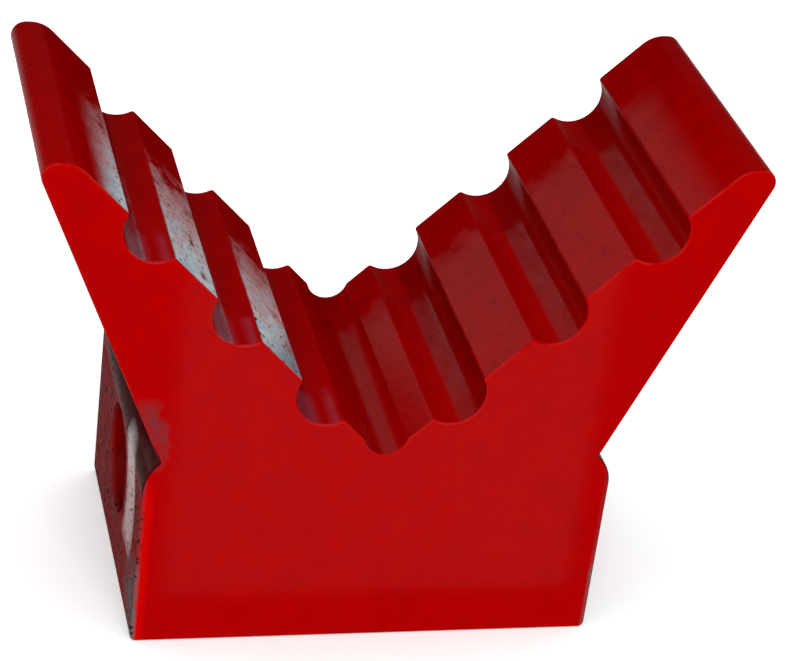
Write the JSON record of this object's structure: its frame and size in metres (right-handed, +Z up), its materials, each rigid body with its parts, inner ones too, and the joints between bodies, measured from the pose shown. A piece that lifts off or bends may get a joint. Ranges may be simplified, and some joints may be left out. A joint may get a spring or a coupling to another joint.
{
  "type": "boat trailer v-block",
  "caption": "One-piece moulded V-shaped bow stop: two ribbed faces cradle a boat's bow above a foot with a cross bore for the trailer bracket's spindle.",
  "frame": {"origin": "middle of the foot's underside, which is the middle of the whole block's footprint", "axes": "+X across the vee and along the bore, +Y from the front face to the back face, +Z up, out of the vee"},
  "size_m": [0.111, 0.05, 0.084],
  "materials": {
    "red_moulding": "satin"
  },
  "bodies": {
    "root": {"v_block": "red_moulding"}
  },
  "joints": []
}
